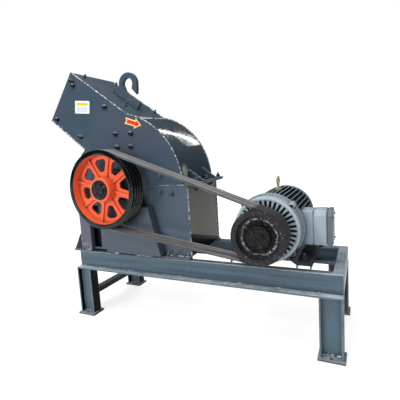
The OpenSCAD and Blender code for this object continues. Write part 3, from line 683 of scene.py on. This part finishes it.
def softened(node, name, body, slot, *looks, width, segments=2, choose=None, carve=None):
    """A copy of a CAD node with its sharp edges rounded.

    carve(bm) changes the mesh, and choose(face) gives a face's material number.
    """
    mesh = nodes[node].data.copy()
    bm = bmesh.new()
    bm.from_mesh(mesh)
    bmesh.ops.remove_doubles(bm, verts=bm.verts, dist=1e-5)
    bmesh.ops.dissolve_limit(bm, angle_limit=math.radians(0.6), verts=bm.verts, edges=bm.edges)
    sharp = [e for e in bm.edges
             if len(e.link_faces) == 2 and e.calc_face_angle(0) > math.radians(SHARP_ANGLE)]
    bmesh.ops.bevel(bm, geom=sharp, offset=width * MM, segments=segments, profile=0.5,
                    affect="EDGES", clamp_overlap=True)
    bmesh.ops.recalc_face_normals(bm, faces=bm.faces)
    if carve:
        carve(bm)
    for face in bm.faces:
        face.material_index = choose(face) if choose else 0
    bm.to_mesh(mesh)
    bm.free()
    place(name, mesh, body, slot, *looks, replaces=(node,))


# ---------------- surroundings
WORLD_LIGHT = 0.27
# the floor's own light for rays that see the background, near the part and far off
FLOOR_GLOW = (0.73, 1.0)
FLOOR_REACH = 30


def background_rays(tree):
    """1 for a ray that sees the background: from the camera, a reflection or through glass."""
    path = tree.nodes.new("ShaderNodeLightPath")
    total = path.outputs["Is Camera Ray"]
    for name in ("Is Glossy Ray", "Is Transmission Ray"):
        either = tree.nodes.new("ShaderNodeMath")
        either.operation = "MAXIMUM"
        tree.links.new(total, either.inputs[0])
        tree.links.new(path.outputs[name], either.inputs[1])
        total = either.outputs[0]
    return total


def make_world():
    world = bpy.data.worlds.new("soft_studio")
    bpy.context.scene.world = world
    world.use_nodes = True
    tree = world.node_tree
    tree.nodes.clear()
    out = tree.nodes.new("ShaderNodeOutputWorld")
    mix = tree.nodes.new("ShaderNodeMixShader")
    lit = tree.nodes.new("ShaderNodeBackground")
    seen = tree.nodes.new("ShaderNodeBackground")
    lit.inputs[0].default_value = (0.93, 0.96, 1.0, 1)
    lit.inputs[1].default_value = WORLD_LIGHT
    seen.inputs[0].default_value = (1, 1, 1, 1)
    seen.inputs[1].default_value = 1.0
    tree.links.new(background_rays(tree), mix.inputs[0])
    tree.links.new(lit.outputs[0], mix.inputs[1])
    tree.links.new(seen.outputs[0], mix.inputs[2])
    tree.links.new(mix.outputs[0], out.inputs[0])


def make_floor():
    t = Tree("pale_floor")
    diffuse = t.add("ShaderNodeBsdfDiffuse", {"Color": (0.6, 0.6, 0.6, 1)})
    strength = t.span(t.vectors("LENGTH", t.place, output="Value"), 1.8, 7.0, *FLOOR_GLOW)
    glow = t.add("ShaderNodeEmission", {"Color": (1, 1, 1, 1), "Strength": strength})
    both = t.add("ShaderNodeAddShader", {0: diffuse.outputs[0], 1: glow.outputs[0]})
    surface = t.add("ShaderNodeMixShader", {0: background_rays(t.tree), 1: diffuse.outputs[0],
                                            2: both.outputs[0]})
    t.add("ShaderNodeOutputMaterial", {"Surface": surface.outputs[0]})
    corners = [(FLOOR_REACH * x, FLOOR_REACH * y, 0) for x, y in ((-1, -1), (1, -1), (1, 1), (-1, 1))]
    stage_card("floor", corners, t.material)


def stage_card(name, corners, material):
    mesh = bpy.data.meshes.new(name)
    mesh.from_pydata(corners, [], [(0, 1, 2, 3)])
    mesh.materials.append(material)
    card = bpy.data.objects.new(name, mesh)
    bpy.context.scene.collection.objects.link(card)
    return card


# plan of each card, from one end to the other, and the height of its foot
DARK_CARDS = {
    "back": ((-3.4, 6), (9, 6), 0.2),
    "back_upper": ((-9, 6), (-3.4, 6), 4.3),
    "front": ((-9, -7.5), (9, -7.5), 0.2),
    "right": ((9, -9), (9, 9), 0.2),
    "left": ((-9, -9), (-9, 0), 0.2),
}
CARD_TOP = 7.5


def make_dark_cards():
    """Dark cards all round, only in reflections: without them every gloss face mirrors white."""
    t = Tree("dark_card")
    glow = t.add("ShaderNodeEmission", {"Color": colour("#5b6468"), "Strength": 0.35})
    t.add("ShaderNodeOutputMaterial", {"Surface": glow.outputs[0]})
    for name, (a, b, foot) in DARK_CARDS.items():
        corners = [(*a, foot), (*b, foot), (*b, CARD_TOP), (*a, CARD_TOP)]
        card = stage_card("dark_card_" + name, corners, t.material)
        card.visible_camera = False
        card.visible_diffuse = False
        card.visible_transmission = False
        card.visible_shadow = False


def area_light(name, place, target, size, power, tone=(1, 1, 1), up=None, glossy=True):
    """A rectangular lamp aimed at a target; its height runs along up where that is given."""
    data = bpy.data.lights.new(name, "AREA")
    data.shape, data.size, data.size_y = "RECTANGLE", size[0], size[1]
    data.energy, data.color = power, tone
    lamp = bpy.data.objects.new(name, data)
    aim = (Vector(target) - Vector(place)).normalized()
    if up is None:
        turn = aim.to_track_quat("-Z", "Y").to_matrix().to_4x4()
    else:
        side = aim.cross(up).normalized()
        turn = Matrix((side, side.cross(aim), -aim)).transposed().to_4x4()
    lamp.matrix_world = Matrix.Translation(place) @ turn
    lamp.visible_glossy = glossy
    bpy.context.scene.collection.objects.link(lamp)


def make_lights():
    middle = (0, 0, 0.6)
    area_light("key", (-0.7, -6.0, 2.0), middle, (3.8, 2.4), 200, glossy=False)
    area_light("sky", (-0.2, -0.7, 4.5), middle, (3.4, 3.4), 112, glossy=False)
    area_light("back", (-2.4, 5.2, 2.6), middle, (3.2, 2.4), 95, glossy=False)
    area_light("glint", (-2.6, -4.6, 4.2), (-0.2, -0.3, 0.9), (0.6, 0.6), 50)
    # long lamp whose mirror image is the bright band along the rolled cover
    spot = Vector((-0.137, 0.011, 1.181))
    mirrored = Vector((0.037, 0.883, 0.467)).normalized()
    along = Vector((-0.119, -0.04, 0.082))
    area_light("band", spot + mirrored * 3.2, spot, (0.05, 1.3), 5.8, (1.0, 0.98, 0.92), up=along)


# ---------------- sheaves
# radii about the rotor axis: the drive sheave is black outside the first, screws are on the second
BLACK_RIM, SCREW_RING = 0.2125, 0.046


def wheel_look(face):
    """Black on the grooves and the front ring of the rim, and orange on the rest."""
    corners = [v.co for v in face.verts]
    return int(max(math.hypot(p.x - ROTOR_X, p.z - ROTOR_Z) for p in corners) > BLACK_RIM)


def make_sheaves():
    softened("drive_sheave", "drive_sheave_cast", "rotor", "wheel_paint", "wheel_paint",
             "black_paint", width=2.2, choose=wheel_look)
    softened("sheave_bush", "sheave_bush_turned", "rotor", "black_paint", "bush_grease", width=2.0)
    softened("motor_sheave", "motor_sheave_cast", "motor_rotor", "black_paint", "sheave_grease",
             width=2.0)
    screws = Shape()
    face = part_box("sheave_bush")[0].y + 0.0045
    for spot in circle(ROTOR_X, face, ROTOR_Z, SCREW_RING, 3, 25):
        screws.screw(spot, FRONT, 13)
    end = Vector((ROTOR_X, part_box("rotor_shaft")[0].y, ROTOR_Z))
    screws.turned(end, FRONT, [(14, -2), (14, -0.6), (13, -0.2), (5, -0.2), (3.5, -1.5)], 24)
    screws.finish("bush_screws", "rotor", "black_paint", "bolt_black")


# ---------------- motor
COWL_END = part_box("fan_cowl")[1].y
INTAKE_DEPTH = 0.009
# the endshield's bolt circle, and the place of its bolts along Y
SHIELD_BOLTS, SHIELD_FACE = 0.182, -0.207
# the motor's foot bolts: how far beside and below its axis, and their places along Y
MOTOR_BOLT_SIDE, MOTOR_BOLT_DROP, MOTOR_BOLTS_Y = 0.176, 0.170, (-0.124, 0.105)
GRILLE_HOOPS = (48, 66, 84, 102, 120, 138)
GLAND_X, GLANDS_Y = 0.728, (-0.060, -0.008)


def sink_intake(bm):
    """The air intake: the cowl's end face sinks behind its grille."""
    end = max((f for f in bm.faces if f.normal.y > 0.99), key=lambda f: f.calc_area())
    bmesh.ops.inset_region(bm, faces=[end], thickness=0.016)
    bmesh.ops.translate(bm, verts=end.verts, vec=(0, -INTAKE_DEPTH, 0))


def cowl_look(face):
    """The floor of the intake takes the second look, a near-black painted shade."""
    places = [v.co.y for v in face.verts]
    sunk = min(places) > COWL_END - INTAKE_DEPTH - 0.003 and max(places) < COWL_END - 0.006
    return int(face.normal.y > 0.9 and sunk)


def make_motor_castings():
    softened("motor_endshield", "motor_endshield_cast", "machine", "motor_paint", "shield_paint",
             width=1.6)
    softened("motor_feet", "motor_feet_cast", "machine", "motor_paint", "feet_black", width=3.0)
    softened("terminal_box", "terminal_box_cast", "machine", "box_paint", "box_paint", width=1.8)
    softened("fan_cowl", "fan_cowl_pressed", "machine", "motor_paint", "cowl_paint", "recess_paint",
             width=4.0, segments=3, carve=sink_intake, choose=cowl_look)


def make_motor_bolts():
    bolts = Shape()
    for spot in circle(MOTOR_X, SHIELD_FACE, MOTOR_Z, SHIELD_BOLTS, 4, 45):
        bolts.bolt(spot, FRONT, 17)
    low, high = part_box("terminal_box")
    for y in (low.y + 0.014, high.y - 0.014):
        for z in (low.z + 0.014, high.z - 0.036):
            bolts.screw(Vector((high.x, y, z)), Vector((1, 0, 0)), 10)
    for side in SIDES:
        for y in MOTOR_BOLTS_Y:
            foot = Vector((MOTOR_X + side * MOTOR_BOLT_SIDE, y, MOTOR_Z - MOTOR_BOLT_DROP))
            bolts.bolt(foot, UP, 19, stud=7)
    bolts.finish("motor_bolts", "machine", "black_paint", "bolt_black")


def hoop(shape, centre, radius):
    """One hoop of the fan grille, of half-round wire."""
    rings = []
    for k in range(64):
        a = 2 * math.pi * k / 64
        out = Vector((math.cos(a), 0, math.sin(a)))
        middle = centre + out * radius * MM
        rings.append([shape.bm.verts.new(middle + out * across * MM + BACK * high * MM)
                      for across, high in ((-2, -1), (-1.6, 2.2), (0, 3.2), (1.6, 2.2), (2, -1))])
    for a, b in zip(rings, rings[1:] + rings[:1]):
        for i in range(5):
            shape.bm.faces.new((a[i], a[(i + 1) % 5], b[(i + 1) % 5], b[i]))


def spoke(shape, centre, angle):
    """One bar of the fan grille, from its middle plate outwards."""
    out = Vector((math.cos(angle), 0, math.sin(angle)))
    side = out.cross(BACK)
    section = [(side * across + BACK * high) * MM
               for across, high in ((-2.5, 0), (-1.6, 3.2), (1.6, 3.2), (2.5, 0))]
    shape.skin([[centre + out * r * MM + off for off in section] for r in (40, 146)])


def make_grille():
    grille = Shape()
    centre = Vector((MOTOR_X, COWL_END - 0.0035, MOTOR_Z))
    for radius in GRILLE_HOOPS:
        hoop(grille, centre, radius)
    for k in range(6):
        spoke(grille, centre, math.pi / 3 * k)
    hub = Vector((MOTOR_X, COWL_END - 0.004, MOTOR_Z))
    grille.turned(hub, BACK, [(40, -2), (40, 1.5), (37, 3.2), (8, 3.2)], 32)
    grille.finish("fan_grille", "machine", "motor_paint", "motor_paint")


def make_glands():
    gland = Shape()
    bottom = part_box("terminal_box")[0].z
    for y in GLANDS_Y:
        foot = Vector((GLAND_X, y, bottom))
        gland.turned(foot, -UP, [(17, -3), (17, 5), (15.5, 6), (15.5, 10)], 6, 0.3)
        gland.turned(foot, -UP, [(13.5, 8), (13.5, 17), (11, 20), (6, 20.5), (5, 18)])
    gland.finish("cable_glands", "machine", "black_paint", "bolt_black")


# ---------------- bolts
# x and z in millimetres from the rotor axis, on both side plates
LINER_BOLTS = [(-316, 703), (-307, 672), (-480, 468), (-284, 335), (-62, 508), (5, 334), (124, 328),
               (12, 252), (116, 249)]
PAINTED_BOLTS = [(307, 60), (305, -38), (382, -50)]
# on the top plate: millimetres up along its slope, and along Y
TOP_STUDS = [(484, -136), (462, 175), (122, -102), (134, 78), (66, 182)]
# places along Y of the bolts in the parting flange
FLANGE_BOLTS = (-0.150, -0.005, 0.196)
# the bearing's cover bolts on a circle, and the bolts of its foot along X from the rotor axis
COVER_RING, BEARING_BOLTS = 0.080, (-0.050, 0.158)
# the housing feet's bolts along X, and how far they are from the middle plane
FEET_BOLTS, FEET_BOLTS_Y = (-0.885, -0.100, -0.150), 0.238


def make_bearings():
    for node in ("bearing_front", "bearing_back"):
        softened(node, node + "_cast", "machine", "black_paint", "bearing_paint", width=2.5)
    shape = Shape()
    low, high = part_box("bearing_front")
    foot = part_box("pedestal_front")[1].z + 0.060
    for side in SIDES:
        for spot in circle(ROTOR_X, side * abs(low.y), ROTOR_Z, COVER_RING, 6, 30):
            shape.bolt(spot, Vector((0, side, 0)), 13)
        for x in BEARING_BOLTS:
            shape.bolt(Vector((ROTOR_X + x, side * (SIDE + 0.032), foot)), UP, 24, stud=9)
        # grease nipple
        top = Vector((ROTOR_X, side * (SIDE + 0.020), high.z))
        profile = [(6, -3), (6, 4), (4, 5), (4, 9), (2.4, 10), (3.4, 12), (2, 14)]
        shape.turned(top, UP, profile, 12)
    shape.finish("bearing_bolts", "machine", "black_paint", "bolt_black")


def make_housing_bolts():
    shape = Shape()
    painted = Shape()
    for kind, spots in ((shape, LINER_BOLTS), (painted, PAINTED_BOLTS)):
        for x, z in spots:
            spot = from_rotor(x, z)
            kind.bolt(spot, FRONT, 26, stud=8)
            kind.bolt(Vector((spot.x, SIDE, spot.z)), BACK, 26, stud=8)
    painted.finish("painted_bolts", "machine", "housing_paint", "bolt_painted")
    slope, start = top_line()
    out = Vector((slope.z, 0, -slope.x))
    for along, y in TOP_STUDS:
        spot = start + slope * along * MM
        spot.y = y * MM
        shape.bolt(spot, out, 20, stud=12)
    low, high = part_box("parting_flange_upper")
    for y in FLANGE_BOLTS:
        shape.bolt(Vector((high.x - 0.028, y, low.z + 0.008)), UP, 24, stud=12)
    shape.finish("housing_bolts", "machine", "black_paint", "bolt_black")


def make_stand_bolts():
    shape = Shape()
    for side in SIDES:
        for x in FEET_BOLTS:
            shape.bolt(Vector((x, side * FEET_BOLTS_Y, DECK + FOOT_PLATE)), UP, 17, stud=6)
    shape.finish("stand_bolts", "machine", "black_paint", "bolt_black")


# ---------------- welds
# seams along X, each from and to
FEET_SEAMS = ((-0.900, -0.760), (-0.186, -0.004))
GUSSET_SEAM, REAR_SEAM = (-0.832, -0.756), (-0.168, 0.0)
PEDESTAL_SEAMS = ((-0.540, -0.490), (-0.360, -0.225))
# three beads along X on the web of each leg, from the leg's middle
WEB_SEAMS = ((-0.046, -0.016), (-0.010, 0.020), (0.024, 0.046))
# the cover's seam ends at this angle above the level of the rotor axis
COVER_END = 3


def weld_shell(shape, side):
    """The seams of one side plate: with the top plate and cover, the chute floor and the walls."""
    edge = side * (SIDE - 0.004)
    slope, start = top_line()
    start.y = edge
    shape.weld([start + slope * 0.512, start], 4.8, 9)
    reach = math.hypot(start.x - ROTOR_X, start.z - ROTOR_Z)
    first = math.degrees(math.atan2(start.z - ROTOR_Z, start.x - ROTOR_X))
    angles = [math.radians(first - (first - COVER_END) * k / 24) for k in range(25)]
    shape.weld([Vector((ROTOR_X + reach * math.cos(a), edge, ROTOR_Z + reach * math.sin(a)))
                for a in angles], 4.6, 9)

    low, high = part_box("lower_side_front")
    floor_low, floor_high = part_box("feed_floor")
    face = side * SIDE
    lip = Vector((floor_low.x + 0.014, face, floor_high.z - 0.011))
    heel = Vector((low.x + 0.090, face, high.z + 0.246))
    throat = Vector((low.x + 0.003, face, high.z + 0.156))
    shape.weld([lip, heel + Vector((0.004, 0, 0.005))], 4.2, 9)
    shape.weld([heel, throat, Vector((throat.x, face, high.z + 0.03))], 4.6, 8)
    shape.weld(line(high.x - 0.001, edge, (high.z - 0.014, low.z + 0.004)), 5.4, 9)
    shape.weld(line(low.x + 0.001, edge, (high.z - 0.012, low.z + 0.01)), 4.2)
    flange_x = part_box("parting_flange_upper")[0].x
    shape.weld(line((flange_x - 0.150, flange_x + 0.02), side * (SIDE + 0.0005), high.z + 0.001), 1.5)


def weld_feet(shape, side):
    """The seams of one side's feet and pedestal, with spatter round them."""
    low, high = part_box("lower_side_front")
    foot_y = side * (abs(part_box("feet_front")[0].y) - 0.005)
    pedestal_y = side * (abs(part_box("pedestal_front")[0].y) + 0.001)
    shape.weld(line(low.x - 0.0005, side * 0.243, (DECK + 0.030, high.z - 0.03)), 4.6, 8)
    for ends in FEET_SEAMS:
        shape.weld(line(ends, foot_y, DECK + 0.001), 4.0)
    shape.weld(line(GUSSET_SEAM, side * 0.245, DECK + 0.013), 4.5)
    shape.weld(line(REAR_SEAM, side * 0.2225, DECK + 0.013), 5.0)
    for ends in PEDESTAL_SEAMS:
        shape.weld(line(ends, pedestal_y, low.z + 0.004), 3.6, 30)
    shape.spatter(Vector((-0.085, side * 0.225, DECK + 0.030)), (80, 1, 18), 60, 3.0)
    shape.spatter(Vector((-0.797, side * 0.247, DECK + 0.036)), (38, 1, 24), 40, 3.0)


def weld_leg(shape, node):
    """The foot of one leg on its base plate, and its head under the sill."""
    low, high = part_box(node)
    side = -1 if low.y < 0 else 1
    x, y = (low.x + high.x) / 2, (low.y + high.y) / 2
    web = y + side * 0.0035
    for x0, x1 in WEB_SEAMS:
        shape.weld([Vector((x + x0, web, BASE_TOP + rng.uniform(0, 0.004))),
                    Vector((x + x1, web, BASE_TOP + rng.uniform(0, 0.006)))], 5.0)
    width = (y - 0.030, y + 0.030)
    for end in SIDES:
        shape.weld(line(x + end * 0.0575, width, BASE_TOP), 3.6)
        shape.weld(line(x + end * 0.0565, width, high.z - 0.001), 3.2)
    shape.spatter(Vector((x, web + side * 0.001, BASE_TOP + 0.012)), (40, 0.5, 8), 12, 2.0)


def weld_beam(shape, side):
    """The end beams on one long beam, and short tacks along its foot."""
    for x in (-END + 0.030, END - 0.052):
        shape.weld(line(x, (side * (BEAM_FACE - 0.012), side * (BEAM_FACE - 0.046)), DECK), 3.0)
    x = -END + 0.02
    while x < END - 0.1:
        length = rng.uniform(0.03, 0.05)
        shape.weld(line((x, x + length), side * (BEAM_FACE + 0.0005), DECK - 0.1), 2.8)
        x += rng.uniform(0.16, 0.24)


def make_welds():
    shape = Shape()
    for side in SIDES:
        weld_shell(shape, side)
        weld_feet(shape, side)
    shape.finish("housing_welds", "machine", "housing_paint", "weld_bead", smooth=80.0)
    stand = Shape()
    for node in ("leg_front_left", "leg_front_right", "leg_back_left", "leg_back_right"):
        weld_leg(stand, node)
    for side in SIDES:
        weld_beam(stand, side)
    stand.finish("stand_welds", "machine", "stand_paint", "weld_bead", smooth=80.0)


# ---------------- plates and stickers
# the opening beside the leg plate: its right edge, its top, and how deep the pocket behind it is
RECESS_RIGHT, RECESS_TOP, RECESS_DEPTH = -0.664, 0.790, 0.045
RECESS_PLATE = 0.004


def make_recess():
    """The pocket behind the opening in each lower side: a back plate, and a return at its right, both
    near black as painted shade.
    """
    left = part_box("lower_wall_feed")[1].x + 0.0005
    front = abs(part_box("lower_side_front")[1].y) - 0.0005
    back = front - RECESS_DEPTH
    shape = Shape()
    for side in SIDES:
        for x0, x1, y0, y1 in ((left, RECESS_RIGHT, back, back + RECESS_PLATE),
                               (RECESS_RIGHT, RECESS_RIGHT + RECESS_PLATE, back, front)):
            corners = [(x0, y0), (x1, y0), (x1, y1), (x0, y1)]
            shape.skin([[Vector((x, side * y, z)) for x, y in corners]
                        for z in (DECK - 0.020, RECESS_TOP)])
    shape.finish("recess_plates", "machine", "housing_paint", "recess_paint")


def make_gussets():
    """A small gusset between the end wall and each feed foot, near black as painted shade."""
    shape = Shape()
    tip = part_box("feet_front")[0].x + 0.002
    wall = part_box("lower_wall_feed")[0].x
    foot_top = DECK + FOOT_PLATE
    outline = [(tip, foot_top), (wall, foot_top), (wall, foot_top + 0.105),
               (wall - 0.010, foot_top + 0.105)]
    for side in SIDES:
        shape.skin([[Vector((x, side * y, z)) for x, z in outline] for y in (0.2405, 0.2465)])
    shape.finish("foot_gussets", "machine", "housing_paint", "recess_paint")


ARROW_RIM = [(-60, 20), (-50, 0), (-60, -20), (16, -18), (16, -33), (64, 0), (16, 33), (16, 18)]
ARROW = [(-49, 12), (-41, 0), (-49, -12), (23, -11), (23, -21), (53, 0), (23, 21), (23, 11)]


def on_side_plate(x, z, tilt):
    """The place of a sticker, turned by an angle in degrees."""
    return Matrix.Translation(from_rotor(x, z)) @ Matrix.Rotation(math.radians(tilt), 4, "Y")


def make_stickers():
    label = Shape()
    label.plate(rounded_box(124, 82, 4), -0.2, 1.2, rim=0.4)
    label.finish("blank_label", "machine", "eye_zinc", "label_face",
                 matrix=on_side_plate(-250, 527, 7.0))
    arrow = Shape()
    arrow.plate(ARROW_RIM, -0.2, 1.0)
    arrow.plate(ARROW, 0.5, 1.5, material=1)
    arrow.finish("direction_arrow", "machine", "wheel_paint", "arrow_yellow", "arrow_red",
                 matrix=on_side_plate(142, 392, 19.0))


# ---------------- the scene
# CAD nodes that don't take the paint of their own slot
LOOKS = {
    "upper_shaded_paint": ("upper_side_front", "upper_side_back", "lifting_hook", "feed_floor"),
    "cover_paint": ("rear_cover",),
    "top_paint": ("top_plate",),
    "flange_paint": ("parting_flange_upper",),
    "rear_wall": ("lower_wall_rear",),
    "feet_paint": ("feet_front", "feet_back"),
    "pedestal_paint": ("pedestal_front", "pedestal_back"),
    "brace_shaded_paint": ("leg_braces",),
    "frame_paint": ("motor_frame",),
    "sheave_grease": ("motor_shaft",),
    "bush_grease": ("rotor_shaft",),
}


def paint_nodes():
    looks = {part["node"]: part["material_slot"] for part in frame["record"]["subparts"]}
    for look, names in LOOKS.items():
        looks.update(dict.fromkeys(names, look))
    for name, obj in nodes.items():
        obj.data.materials.clear()
        obj.data.materials.append(materials[looks[name]])


make_camera()
materials = make_materials()
paint_nodes()
make_sheaves()
make_motor_castings()
make_motor_bolts()
make_grille()
make_glands()
make_bearings()
make_housing_bolts()
make_welds()
make_stand_bolts()
make_recess()
make_gussets()
make_stickers()
make_world()
make_floor()
make_dark_cards()
make_lights()
bpy.context.scene.view_settings.view_transform = "Standard"
